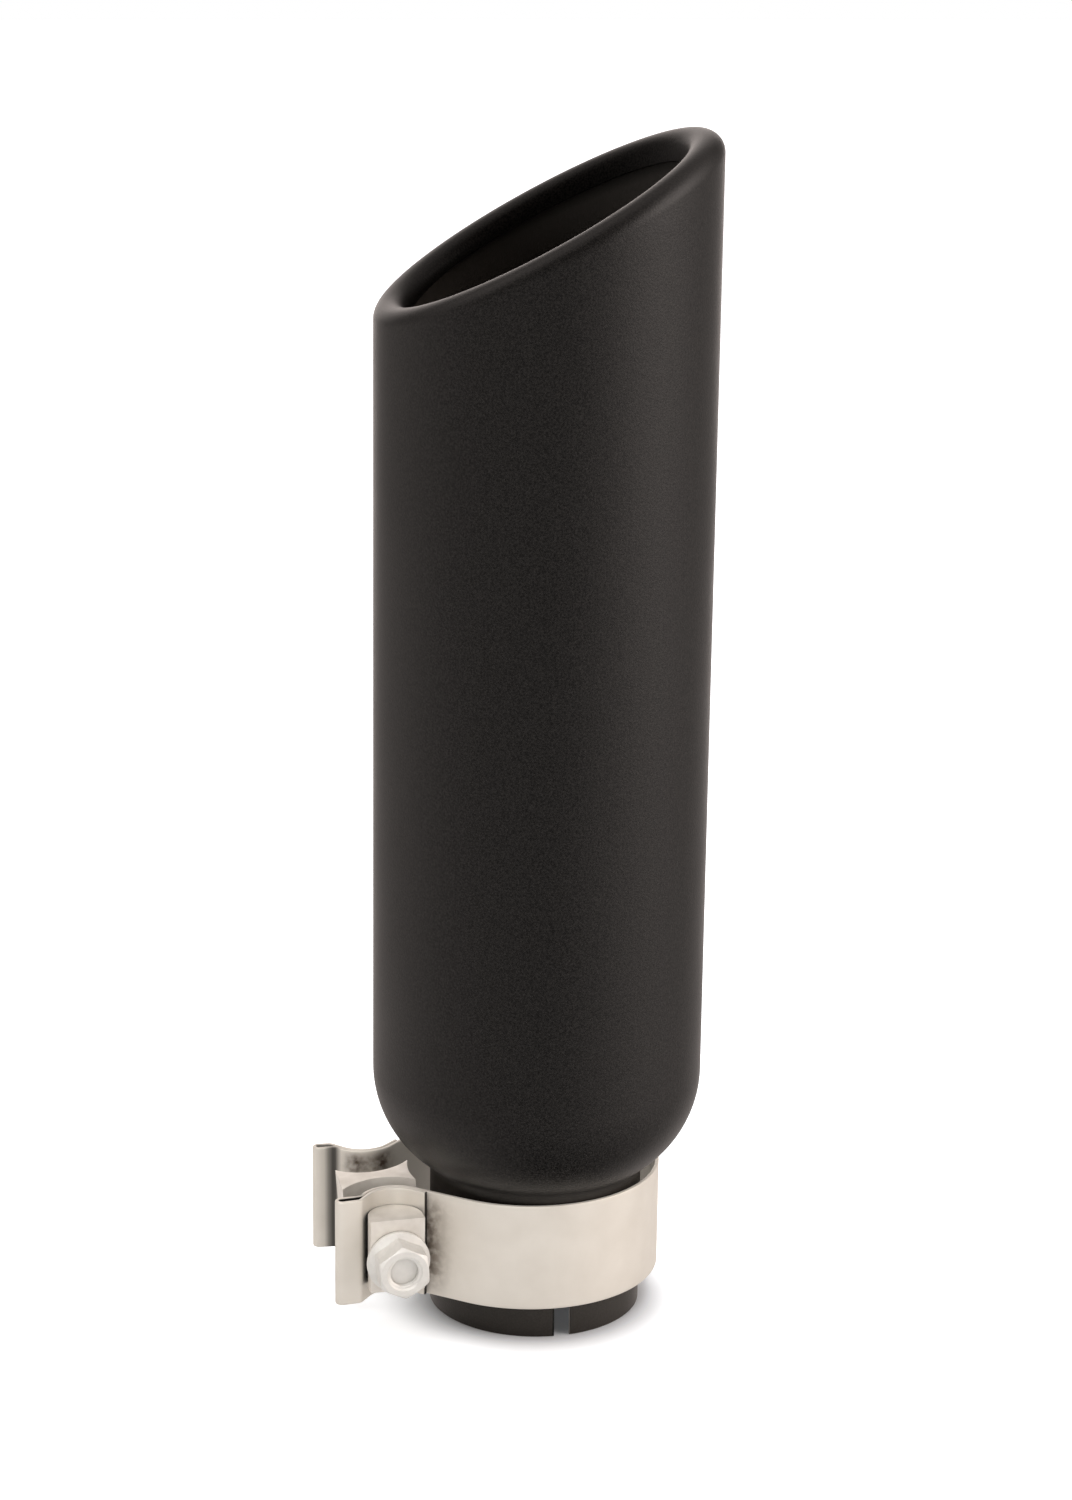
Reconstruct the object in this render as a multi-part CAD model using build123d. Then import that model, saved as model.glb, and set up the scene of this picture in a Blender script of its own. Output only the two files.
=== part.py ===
from build123d import *

import os
from math import atan2, cos, degrees, hypot, radians, sin, sqrt, tan

# Exhaust tip: a spun tube with a slash-cut, rolled-in mouth, and the bolted band clamp that hangs loose on its neck.
# Millimetres, +Z along the gas flow. The origin is the centre of the neck's open end, on which the tip stands,
# and +X points to the tall side of the slash cut.

# Tip shell
pipe_diameter = 63.5        # tail pipe that the neck slides over
wall = 1.2
body_diameter = 101.6
shoulder_radius = 35.8      # convex rounding between neck and body
shoulder_top = 77.6         # height where the body becomes straight
neck_blend = 4.5            # concave rounding at the top of the neck
cut_angle = 28.8            # slash cut, from level
cut_height = 333.7          # height of the roll's centre line on the tip's axis
roll_radius = 5.3           # outside radius of the rolled lip
crest_land = 0.3            # flat left along the crest of the roll
lip_drop = 1.5              # how far the lip's free edge hangs below the roll's centre
slot_count = 3
slot_width = 5.0
slot_length = 36.0
first_slot = -85.9          # direction of the first slot, from +X

# Clamp band
strip = 1.2                 # thickness of the strip
band_width = 34.0
band_base = 10.0            # height of the band's lower edge
band_bore = 79.6            # inside diameter of the loose ring
neck_clearance = 0.3        # nearest the ring comes to the neck
clamp_turn = 183.3          # direction in which the ears point, from +X
clamp_lean = 97.0           # direction in which the loose ring hangs off the tip's axis
leave_angle = 47.7          # where the strip leaves the ring, from the ears' direction
leave_run = 18.7            # straight run from the ring to the ear
ear_radius = 10.3           # concave seat in the ear, between its two layers
ear_heading = 50.0          # direction in which the ear's seat ends
ear_wall = 1.45             # straight run of the inner layer from the seat to the bend
bend_radius = 1.8           # bends between the seat and the hem, on the middle of the strip
hem_heading = 4.0           # direction in which the hem stands out
hem_radius = 1.5            # end of the open hem, on the middle of the strip
nut_hem_run = 5.6           # length of the hem on the nut side
head_hem_run = 4.0          # and on the head side, which is folded shorter
fold_tail = 5.1             # straight run of the folded layer past the seat, to its free end
fold_gap = 0.15             # between the two layers of an ear

# Saddles, the half-round bars in the ears' seats
saddle_ease = 0.5           # the bar is this much rounder than its seat
saddle_height = 23.4
saddle_thickness = 12.1
saddle_chamfer = 0.6
saddle_clearance = 0.1

# Reaction block between the ears
block_length = 22.8
block_width = 15.6          # across the ends
block_waist = 5.2
block_height = 33.6
block_shift = 4.3           # off the middle of the clamp, towards the nut
block_reach = 0.6           # its middle lies this much further out than the bolt
block_skew = -3.0           # it hangs askew on the bolt
block_roll = 4.5            # and turned about it, its inner end up
block_chamfer = 0.4

# Bolt and nut
bolt_diameter = 10.0
bolt_chamfer = 0.8
bolt_recess = 2.2           # bolt's end, below the nut's face
bolt_drop = 1.7             # the loose bolt lies this low in its wide holes
bolt_seat_gap = 0.1         # left between the bolt and the bottom of each hole
thread_clearance = 0.05     # between bolt and nut
across_flats = 15.0
flange_diameter = 19.6
flange_rim = 1.6
flange_slope = 25.0
crown_slope = 30.0
crown_share = 0.96          # flat crown of a hexagon, as a share of its flats
nut_height = 10.2
head_height = 9.2
nut_countersink = 0.5
nut_turn = 4.5              # one corner of the nut stands this far off upright
head_turn = 14.0

# Worked out from the above
neck_radius = pipe_diameter / 2 + wall
body_radius = body_diameter / 2
mouth_radius = body_radius - 2 * roll_radius
ring_radius = band_bore / 2 + strip / 2
lap = strip + fold_gap
outer_layer = ear_radius - lap / 2                           # folded back, under the saddle
inner_layer = ear_radius + lap / 2                           # runs on from the ring
clamp_middle = band_base + band_width / 2
touching = 1e-6             # points nearer than this are one


def polar(radius, angle):
    return Vector(radius * cos(radians(angle)), radius * sin(radians(angle)))


# In the clamp's own plan, +X runs out along the ears and +Y runs along the bolt, towards the nut.
seat_centre = polar(ring_radius + inner_layer, leave_angle) + polar(leave_run, leave_angle - 90)
seat_face = outer_layer - strip / 2 - saddle_clearance       # radius that the saddles lie on
saddle_radius = seat_face - saddle_ease
saddle_back = seat_centre.Y - seat_face                      # nearest a saddle comes to the clamp's middle
saddle_face = saddle_back + saddle_thickness                 # flat face under the nut, from the clamp's middle
bolt_length = 2 * saddle_face + nut_height - bolt_recess
bolt_level = clamp_middle - bolt_drop
hole_radius = bolt_diameter / 2 + bolt_drop + bolt_seat_gap  # in ears and saddles


def cut_plane(rise):
    """Plane of the slash cut, moved along its normal from the roll's centre line."""
    normal = Vector(-sin(radians(cut_angle)), 0, cos(radians(cut_angle)))
    return Plane(origin=Vector(0, 0, cut_height) + normal * rise, z_dir=normal)


def spun_form(inset):
    """Solid of the spun outline, a given depth inside the outer skin, taller than the cut."""
    neck = neck_radius - inset
    body = body_radius - inset
    top = cut_height + 2 * body_radius
    shoulder_x = body_radius - shoulder_radius
    blend_x = neck_radius + neck_blend
    blend_drop = sqrt((shoulder_radius + neck_blend) ** 2 - (blend_x - shoulder_x) ** 2)
    blend_z = shoulder_top - blend_drop
    lean = degrees(atan2(blend_drop, blend_x - shoulder_x))
    outline = [
        Line((0, 0), (neck, 0)),
        Line((neck, 0), (neck, blend_z)),
        CenterArc((blend_x, blend_z), neck_blend + inset, 180, -lean),
        CenterArc((shoulder_x, shoulder_top), shoulder_radius - inset, -lean, lean),
        Line((body, shoulder_top), (body, top)),
        Line((body, top), (0, top)),
        Line((0, top), (0, 0)),
    ]
    return revolve(Plane.XZ * make_face(outline), Axis.Z)


def round_crest(form, plane, radius):
    """Round both edges of the ring-shaped face that lies in the plane."""
    crest = form.faces().filter_by(plane).sort_by(Axis(plane.origin, plane.z_dir))[-1]
    return fillet(crest.edges(), radius)


def mouth_post(radius, floor_rise):
    """Upright round post through the mouth, standing on a slanted floor."""
    top = cut_height + 2 * body_radius
    post = Pos(0, 0, top / 2) * Cylinder(radius, top)
    return split(post, cut_plane(floor_rise), keep=Keep.TOP)


def slot_cutter(direction):
    depth = 4 * wall
    straight = slot_length - slot_width / 2
    block = Pos(neck_radius, 0, straight / 2) * Box(depth, slot_width, straight)
    end = Pos(neck_radius, 0, straight) * Rot(0, 90, 0) * Cylinder(slot_width / 2, depth)
    return Rot(0, 0, direction) * (block + end)


def make_tip_shell():
    """Single wall: neck, shoulder and body, cut on the slant, with the edge rolled in through a half turn."""
    rounding = roll_radius - crest_land / 2
    crest = cut_plane(roll_radius)
    skin = split(spun_form(0), crest, keep=Keep.BOTTOM) - mouth_post(mouth_radius, -lip_drop - wall)
    skin = round_crest(skin, crest, rounding)

    inner_crest = cut_plane(roll_radius - wall)
    roll_hollow = split(spun_form(wall), inner_crest, keep=Keep.BOTTOM)
    roll_hollow -= mouth_post(mouth_radius + wall, -2 * roll_radius)
    roll_hollow = round_crest(roll_hollow, inner_crest, rounding - wall)

    core = split(mouth_post(mouth_radius + roll_radius, -3 * roll_radius), cut_plane(-lip_drop), keep=Keep.BOTTOM)
    shell = skin - roll_hollow - core
    for index in range(slot_count):
        shell -= slot_cutter(first_slot + index * 360 / slot_count)
    return shell


def strip_face(arcs, thickness, tail):
    """Plan of a strip along tangent arcs (centre, radius, start, end), joined and ended by straight runs."""
    edges = []
    ends = []
    for side in (1, -1):
        previous = None
        for centre, radius, start, end in arcs:
            turn = 1 if end > start else -1
            arc = CenterArc((centre.X, centre.Y), radius - side * turn * thickness / 2, start, end - start)
            if previous is None:
                ends.append(arc @ 0 - (arc % 0) * tail)
                edges.append(Line(ends[-1], arc @ 0))
            elif (previous @ 1 - arc @ 0).length > touching:
                edges.append(Line(previous @ 1, arc @ 0))
            edges.append(arc)
            previous = arc
        ends.append(previous @ 1 + (previous % 1) * tail)
        edges.append(Line(previous @ 1, ends[-1]))
    edges.append(Line(ends[0], ends[2]))
    edges.append(Line(ends[1], ends[3]))
    return make_face(edges)


def ear_arcs(hem_run):
    """One ear on the nut side, from the folded layer's free end, round the open hem and back to the ring."""
    outward = ear_heading - 90
    sideways = polar(1, hem_heading + 90)
    inner_bend = seat_centre + polar(inner_layer + bend_radius, outward) + polar(ear_wall, ear_heading)
    hem_centre = inner_bend + sideways * (bend_radius + hem_radius) + polar(hem_run, hem_heading)
    # the outer bend slides along its wall until it meets the hem's outer side
    outer_bend = seat_centre + polar(outer_layer + bend_radius, outward)
    short = (hem_centre + sideways * (hem_radius - bend_radius) - outer_bend).dot(sideways)
    outer_bend += polar(short / sin(radians(ear_heading - hem_heading)), ear_heading)
    return [
        (seat_centre, outer_layer, leave_angle - 180, outward),
        (outer_bend, bend_radius, ear_heading + 90, hem_heading + 90),
        (hem_centre, hem_radius, hem_heading + 90, hem_heading - 90),
        (inner_bend, bend_radius, hem_heading + 90, ear_heading + 90),
        (seat_centre, inner_layer, outward, leave_angle - 180),
    ]


def bolt_hole():
    """Cutter for the bolt's wide holes, right through the clamp, in the clamp's own frame."""
    return Pos(seat_centre.X, 0, clamp_middle) * Rot(90, 0, 0) * Cylinder(hole_radius, 4 * saddle_face)


def make_clamp_band():
    """One strip: a ring that ends in two ears, each folded back outside itself round an open hem."""
    near = ear_arcs(nut_hem_run)
    far = [(Vector(c.X, -c.Y), radius, -end, -start) for c, radius, start, end in reversed(ear_arcs(head_hem_run))]
    ring = (Vector(0, 0), ring_radius, leave_angle, 360 - leave_angle)
    band = Pos(0, 0, band_base) * extrude(strip_face(near + [ring] + far, strip, fold_tail), band_width)
    return band - bolt_hole()


def make_saddle():
    """Half-round bar in the nut-side ear's seat, with a flat face for the flange."""
    left, right = seat_centre.X - saddle_radius, seat_centre.X + saddle_radius
    shoulder = saddle_back + saddle_radius
    outline = [
        CenterArc((seat_centre.X, shoulder), saddle_radius, 180, 180),
        Line((right, shoulder), (right, saddle_face)),
        Line((right, saddle_face), (left, saddle_face)),
        Line((left, saddle_face), (left, shoulder)),
    ]
    bar = Pos(0, 0, clamp_middle - saddle_height / 2) * extrude(make_face(outline), saddle_height)
    rims = bar.edges().group_by(Axis.Z)
    corners = bar.edges().filter_by(Axis.Z).group_by(Axis.Y)[-1]
    bar = chamfer(rims[0] + rims[-1] + corners, saddle_chamfer)
    return bar - bolt_hole()


def make_reaction_block():
    """Waisted block that the two ears close on, hollow-ended to suit the pipe, hung askew on the bolt."""
    half_length = block_length / 2
    half_width = block_width / 2
    hollow = neck_radius - sqrt(neck_radius ** 2 - half_width ** 2)
    inner, outer = -half_length + block_reach, half_length + block_reach
    outline = [
        ThreePointArc((inner, half_width), (block_reach, block_waist / 2), (outer, half_width)),
        Line((outer, half_width), (outer, -half_width)),
        ThreePointArc((outer, -half_width), (block_reach, -block_waist / 2), (inner, -half_width)),
        ThreePointArc((inner, -half_width), (inner + hollow, 0), (inner, half_width)),
    ]
    block = Pos(0, 0, -block_height / 2) * extrude(make_face(outline), block_height)
    rims = block.edges().group_by(Axis.Z)
    block = chamfer(rims[0] + rims[-1], block_chamfer)
    rise = half_width - block_waist / 2
    side_radius = (half_length ** 2 + rise ** 2) / (2 * rise)
    hole_edge = hole_radius + abs(block_reach)
    hole_depth = block_waist / 2 + side_radius - sqrt(side_radius ** 2 - hole_edge ** 2)
    swing = hole_depth * tan(radians(block_skew))   # sideways, from the skew
    skew_radius = bolt_diameter / 2 / cos(radians(block_skew))
    hole = Rot(90, 0, 0) * Cylinder(skew_radius + hypot(bolt_drop, swing) + bolt_seat_gap, 2 * block_width)
    return Pos(seat_centre.X, block_shift, clamp_middle) * Rot(0, block_roll, block_skew) * (block - hole)


def flange_hexagon(height, turn):
    """Hexagon on a sloped flange, standing on its bearing face, with a chamfered crown."""
    flats = across_flats / 2
    corners = flats / cos(radians(30))
    flange = flange_diameter / 2
    slope_rise = (flange - flats) * tan(radians(flange_slope))
    crown = crown_share * flats
    crown_drop = (corners - crown) * tan(radians(crown_slope))
    hexagon = extrude(RegularPolygon(flats, 6, major_radius=False, rotation=turn), height)
    turned = make_face(Polyline((0, 0), (corners, 0), (corners, height - crown_drop), (crown, height), (0, height),
                                close=True))
    skirt = make_face(Polyline((0, 0), (flange, 0), (flange, flange_rim), (flats, flange_rim + slope_rise),
                               (0, flange_rim + slope_rise), close=True))
    return (hexagon & revolve(Plane.XZ * turned, Axis.Z)) + revolve(Plane.XZ * skirt, Axis.Z)


def make_clamp_bolt():
    """Flanged bolt, built along +Z from its head's bearing face, laid along the clamp's +Y."""
    shank = Pos(0, 0, bolt_length / 2) * Cylinder(bolt_diameter / 2, bolt_length)
    shank = chamfer(shank.edges().sort_by(Axis.Z)[-1], bolt_chamfer)
    head = Rot(180, 0, 0) * flange_hexagon(head_height, head_turn)
    return Pos(seat_centre.X, -saddle_face, bolt_level) * Rot(-90, 0, 0) * (shank + head)


def make_clamp_nut():
    """Flanged nut against the nut-side saddle, countersunk on its outer face."""
    bore = bolt_diameter / 2 + thread_clearance
    nut = flange_hexagon(nut_height, 90 + nut_turn) - Pos(0, 0, nut_height / 2) * Cylinder(bore, 2 * nut_height)
    rim = nut.edges().filter_by(GeomType.CIRCLE).filter_by(lambda edge: abs(edge.radius - bore) < thread_clearance)
    nut = chamfer(rim.sort_by(Axis.Z)[-1], nut_countersink)
    return Pos(seat_centre.X, saddle_face, bolt_level) * Rot(-90, 0, 0) * nut


shift = polar(band_bore / 2 - neck_radius - neck_clearance, clamp_lean)
on_neck = Pos(shift.X, shift.Y, 0) * Rot(0, 0, clamp_turn)
saddle = make_saddle()
nodes = {
    "tip_shell": make_tip_shell(),
    "clamp_band": on_neck * make_clamp_band(),
    "reaction_block": on_neck * make_reaction_block(),
    "nut_side_saddle": on_neck * saddle,
    "head_side_saddle": on_neck * mirror(saddle, Plane.XZ),
    "clamp_bolt": on_neck * make_clamp_bolt(),
    "clamp_nut": on_neck * make_clamp_nut(),
}

os.makedirs("parts", exist_ok=True)
for name, solid in nodes.items():
    export_step(solid, f"parts/{name}.step")
    box = solid.bounding_box()
    print(name, "volume %.0f mm3," % solid.volume, "from", box.min, "to", box.max)
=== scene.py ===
import math

import bpy
import numpy as np
from mathutils import Matrix, Vector


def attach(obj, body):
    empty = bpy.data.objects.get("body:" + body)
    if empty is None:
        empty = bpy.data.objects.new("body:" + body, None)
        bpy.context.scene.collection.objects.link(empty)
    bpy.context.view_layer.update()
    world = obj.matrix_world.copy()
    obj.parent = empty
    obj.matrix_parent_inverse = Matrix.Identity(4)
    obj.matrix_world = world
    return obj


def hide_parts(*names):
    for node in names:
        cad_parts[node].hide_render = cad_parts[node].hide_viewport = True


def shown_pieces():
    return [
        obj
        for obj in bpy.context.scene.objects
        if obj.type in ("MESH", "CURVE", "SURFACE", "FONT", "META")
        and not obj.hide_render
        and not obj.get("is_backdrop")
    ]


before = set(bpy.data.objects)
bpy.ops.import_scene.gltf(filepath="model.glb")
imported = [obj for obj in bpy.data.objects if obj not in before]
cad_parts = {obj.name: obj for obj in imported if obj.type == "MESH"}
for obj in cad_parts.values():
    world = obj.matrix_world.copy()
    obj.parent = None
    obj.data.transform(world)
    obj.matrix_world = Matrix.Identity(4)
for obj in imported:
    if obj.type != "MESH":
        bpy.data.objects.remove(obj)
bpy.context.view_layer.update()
print("frame loaded:", sorted(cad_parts))

crease = 32  # smooth shading breaks where two faces turn by more degrees than this


# shapes are in millimetres until makePiece puts them into a mesh in metres
def polar(radius, angle):
    turn = np.radians(angle)
    return np.stack([radius * np.cos(turn), radius * np.sin(turn)], -1)


def raised(plan, height):  # plan points given a height each
    return np.concatenate([plan, np.broadcast_to(height, plan.shape[:2])[..., None]], -1)


def linear(hexText):  # sRGB hex to linear RGBA
    c = np.array([int(hexText[i:i + 2], 16) for i in (1, 3, 5)]) / 255
    c = np.where(c <= 0.04045, c / 12.92, ((c + 0.055) / 1.055) ** 2.4)
    return (*c.tolist(), 1.0)


def gridFaces(rows, cols, wrapRows=False, wrapCols=True):  # quads between neighbours on a grid of points
    lastRow = rows if wrapRows else rows - 1
    lastCol = cols if wrapCols else cols - 1
    r, c = np.meshgrid(np.arange(lastRow), np.arange(lastCol), indexing="ij")
    down, right = (r + 1) % rows, (c + 1) % cols
    quads = np.stack([r * cols + c, r * cols + right, down * cols + right, down * cols + c], -1)
    return quads.reshape(-1, 4).tolist()


def tubeFaces(rows, cols):  # the same round a tube, with one face over each end
    first, last = list(range(cols)), list(range((rows - 1) * cols, rows * cols))
    return gridFaces(rows, cols) + [first[::-1], last]


def makePiece(name, grid, faces, uv=None, sharp=crease):  # grid (rows, cols, 3) in mm, uv (rows, cols, 2)
    points = grid.reshape(-1, 3) / 1000
    mesh = bpy.data.meshes.new(name)
    mesh.from_pydata(points.tolist(), [], faces)
    if uv is not None:
        corners = np.zeros(len(mesh.loops), np.int32)
        mesh.loops.foreach_get("vertex_index", corners)
        layer = mesh.uv_layers.new(name="stripMm")
        layer.data.foreach_set("uv", uv.reshape(-1, 2)[corners].astype(np.float32).ravel())
    piece = bpy.data.objects.new(name, mesh)
    bpy.context.scene.collection.objects.link(piece)
    smooth(piece, sharp)
    return piece


def smooth(piece, sharp):
    piece.data.polygons.foreach_set("use_smooth", np.ones(len(piece.data.polygons), bool))
    piece.data.set_sharp_from_angle(angle=math.radians(sharp))


def settle(piece, sharp=crease):  # works the modifiers into the mesh
    bpy.context.view_layer.update()
    view = bpy.context.evaluated_depsgraph_get()
    done = bpy.data.meshes.new_from_object(piece.evaluated_get(view))
    piece.modifiers.clear()
    piece.data = done
    smooth(piece, sharp)


def cutAway(piece, cutters):  # takes the cutters out of the piece
    for cutter in cutters:
        cut = piece.modifiers.new("cut", "BOOLEAN")
        cut.operation = "DIFFERENCE"
        cut.solver = "EXACT"
        cut.object = cutter
    settle(piece)
    for cutter in cutters:
        bpy.data.objects.remove(cutter)


def markPoints(piece, name, values):  # one value a point, for the material
    mark = piece.data.attributes.new(name, "FLOAT", "POINT")
    mark.data.foreach_set("value", values.astype(np.float32).ravel())


def carry(piece, node, material):
    piece.data.materials.clear()
    piece.data.materials.append(material)
    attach(piece, "root")
    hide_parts(node)
    print("made", piece.name, "faces", len(piece.data.polygons))


def addNode(tree, kind, links=None, **settings):  # a node, its settings, its sockets' values or links
    made = tree.nodes.new(kind)
    for key, value in settings.items():
        setattr(made, key, value)
    for socket, value in (links or {}).items():
        if isinstance(value, bpy.types.NodeSocket):
            tree.links.new(value, made.inputs[socket])
        else:
            made.inputs[socket].default_value = value
    return made


def newMaterial(name):
    material = bpy.data.materials.new(name)
    material.use_nodes = True
    return material, material.node_tree, material.node_tree.nodes["Principled BSDF"]


# Polyester powder coat, baked on steel: satin black, a fine pebbled skin that breaks highlights into grain.
coat = {"dark": "#040404", "light": "#1e1c1a", "paintedLight": "#5b5752", "dull": "#2c2c2c", "roughness": 0.44,
        "uneven": 0.03, "grainMm": 0.55, "grainHeight": 0.09, "peelMm": 2.2, "peelHeight": 0.035,
        "cloudMm": 45}


def blackPowderCoat():
    material, tree, skin = newMaterial("black satin powder coat")
    place = addNode(tree, "ShaderNodeTexCoord").outputs["Object"]
    grain = addNode(tree, "ShaderNodeTexNoise",  # drawn coarser than it is, to show
                    {"Vector": place, "Scale": 1000 / coat["grainMm"], "Detail": 2.0}).outputs["Fac"]
    peel = addNode(tree, "ShaderNodeTexNoise",
                   {"Vector": place, "Scale": 1000 / coat["peelMm"], "Detail": 1.0}).outputs["Fac"]
    cloud = addNode(tree, "ShaderNodeTexNoise",
                    {"Vector": place, "Scale": 1000 / coat["cloudMm"], "Detail": 3.0}).outputs["Fac"]
    speck = addNode(tree, "ShaderNodeMapRange",
                    {"Value": grain, "From Min": 0.34, "From Max": 0.68}).outputs["Result"]
    tone = addNode(tree, "ShaderNodeMix",
                   {"Factor": speck, "A": linear(coat["dark"]), "B": linear(coat["light"])},
                   data_type="RGBA").outputs["Result"]
    # painted shade and light: as "inside" goes from 0 to 0.5 the gloss is dimmed, a painted shade on the
    # lip's inner face, the neck and the inner wall, and from there to 1 the coat turns pale, a painted light
    # on the neck and the inner wall
    inside = addNode(tree, "ShaderNodeAttribute", attribute_name="inside").outputs["Fac"]
    paleShare = addNode(tree, "ShaderNodeMapRange", {"Value": inside, "From Min": 0.5}).outputs["Result"]
    paled = addNode(tree, "ShaderNodeMix", {"Factor": paleShare, "A": tone, "B": linear(coat["paintedLight"])},
                     data_type="RGBA").outputs["Result"]
    tree.links.new(paled, skin.inputs["Base Color"])
    turned = addNode(tree, "ShaderNodeMapRange", {"Value": inside, "From Max": 0.5}).outputs["Result"]
    shadedGloss = addNode(tree, "ShaderNodeMix", {"Factor": turned, "A": (1, 1, 1, 1), "B": linear(coat["dull"])},
                    data_type="RGBA").outputs["Result"]
    tree.links.new(shadedGloss, skin.inputs["Specular Tint"])
    rough = addNode(tree, "ShaderNodeMapRange",
                    {"Value": cloud, "From Min": 0.3, "From Max": 0.7,
                     "To Min": coat["roughness"] - coat["uneven"],
                     "To Max": coat["roughness"] + coat["uneven"]}).outputs["Result"]
    tree.links.new(rough, skin.inputs["Roughness"])
    low = addNode(tree, "ShaderNodeBump",
                  {"Height": peel, "Strength": 0.5, "Distance": coat["peelHeight"] / 1000}).outputs["Normal"]
    fine = addNode(tree, "ShaderNodeBump",
                   {"Height": grain, "Strength": 0.7, "Distance": coat["grainHeight"] / 1000,
                    "Normal": low}).outputs["Normal"]
    tree.links.new(fine, skin.inputs["Normal"])
    skin.inputs["IOR"].default_value = 1.5
    return material


# Cold-rolled stainless strip, mill finish: pale warm grey with faint rolling lines along the strip, brown in
# patches where a weld heated it and beside the folded layer's end, and near black with painted shade in its
# tight bends, folds and creases.
strip = {"pale": "#d8d2c8", "dull": "#cac3b8", "brownTint": "#4d3f33", "paintedShade": "#15120f", "shadeMm": 3.5,
         "roughness": 0.48, "metallic": 0.35, "lineMm": 0.5, "lineHeight": 0.02, "stretch": 0.02,
         "cloudMm": 9, "mottleMm": 2.2}


def rolledStainless():
    material, tree, skin = newMaterial("mill finish stainless strip")
    place = addNode(tree, "ShaderNodeTexCoord").outputs["Object"]
    along = addNode(tree, "ShaderNodeUVMap", uv_map="stripMm").outputs["UV"]
    perMm = 1 / strip["lineMm"]
    rolled = addNode(tree, "ShaderNodeMapping",
                     {"Vector": along, "Scale": (strip["stretch"] * perMm, perMm, 1)}).outputs["Vector"]
    lines = addNode(tree, "ShaderNodeTexNoise",
                    {"Vector": rolled, "Scale": 1.0, "Detail": 3.0}).outputs["Fac"]
    cloud = addNode(tree, "ShaderNodeTexNoise",
                    {"Vector": place, "Scale": 1000 / strip["cloudMm"], "Detail": 4.0}).outputs["Fac"]
    mottle = addNode(tree, "ShaderNodeTexNoise",
                     {"Vector": place, "Scale": 1000 / strip["mottleMm"], "Detail": 3.0}).outputs["Fac"]
    tone = addNode(tree, "ShaderNodeMix",
                   {"Factor": cloud, "A": linear(strip["dull"]), "B": linear(strip["pale"])},
                   data_type="RGBA").outputs["Result"]
    browning = addNode(tree, "ShaderNodeAttribute", attribute_name="brownPatch").outputs["Fac"]
    broken = addNode(tree, "ShaderNodeMapRange",
                     {"Value": mottle, "From Min": 0.3, "From Max": 0.62, "To Min": 0.45}).outputs["Result"]
    brownTint = addNode(tree, "ShaderNodeMath", {0: browning, 1: broken}, operation="MULTIPLY").outputs[0]
    browned = addNode(tree, "ShaderNodeMix", {"Factor": brownTint, "A": tone, "B": linear(strip["brownTint"])},
                      data_type="RGBA").outputs["Result"]
    # painted shade: the strip turns near black where other surfaces close in on it, read by ambient
    # occlusion
    closed = addNode(tree, "ShaderNodeAmbientOcclusion", {"Distance": strip["shadeMm"] / 1000},
                     samples=8).outputs["AO"]
    fold = addNode(tree, "ShaderNodeMapRange",
                   {"Value": closed, "From Min": 0.42, "From Max": 0.16}).outputs["Result"]
    # painted shade marked on the strip's points: in the bends, by the hem, in the folds and at the cut ends
    bent = addNode(tree, "ShaderNodeAttribute", attribute_name="paintedShade").outputs["Fac"]
    dark = addNode(tree, "ShaderNodeMath", {0: fold, 1: bent}, operation="MAXIMUM").outputs[0]
    shaded = addNode(tree, "ShaderNodeMix", {"Factor": dark, "A": browned, "B": linear(strip["paintedShade"])},
                    data_type="RGBA").outputs["Result"]
    tree.links.new(shaded, skin.inputs["Base Color"])
    rough = addNode(tree, "ShaderNodeMapRange",
                    {"Value": lines, "To Min": strip["roughness"] - 0.06,
                     "To Max": strip["roughness"] + 0.08}).outputs["Result"]
    tree.links.new(rough, skin.inputs["Roughness"])
    bump = addNode(tree, "ShaderNodeBump",
                   {"Height": lines, "Strength": 0.25,
                    "Distance": strip["lineHeight"] / 1000}).outputs["Normal"]
    tree.links.new(bump, skin.inputs["Normal"])
    skin.inputs["Metallic"].default_value = strip["metallic"]
    return material


# Bright drawn steel bar, tumbled and plated: pale, drawing lines up the bar, worn duller in patches.
bar = {"pale": "#e9e4dc", "dull": "#bdb5aa", "paintedShade": "#1a1714", "shadeMm": 2.5, "roughness": 0.42,
       "worn": 0.1, "metallic": 0.35, "lineMm": 0.6, "lineHeight": 0.03, "linesPerM": 30, "cloudMm": 5}


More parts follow.
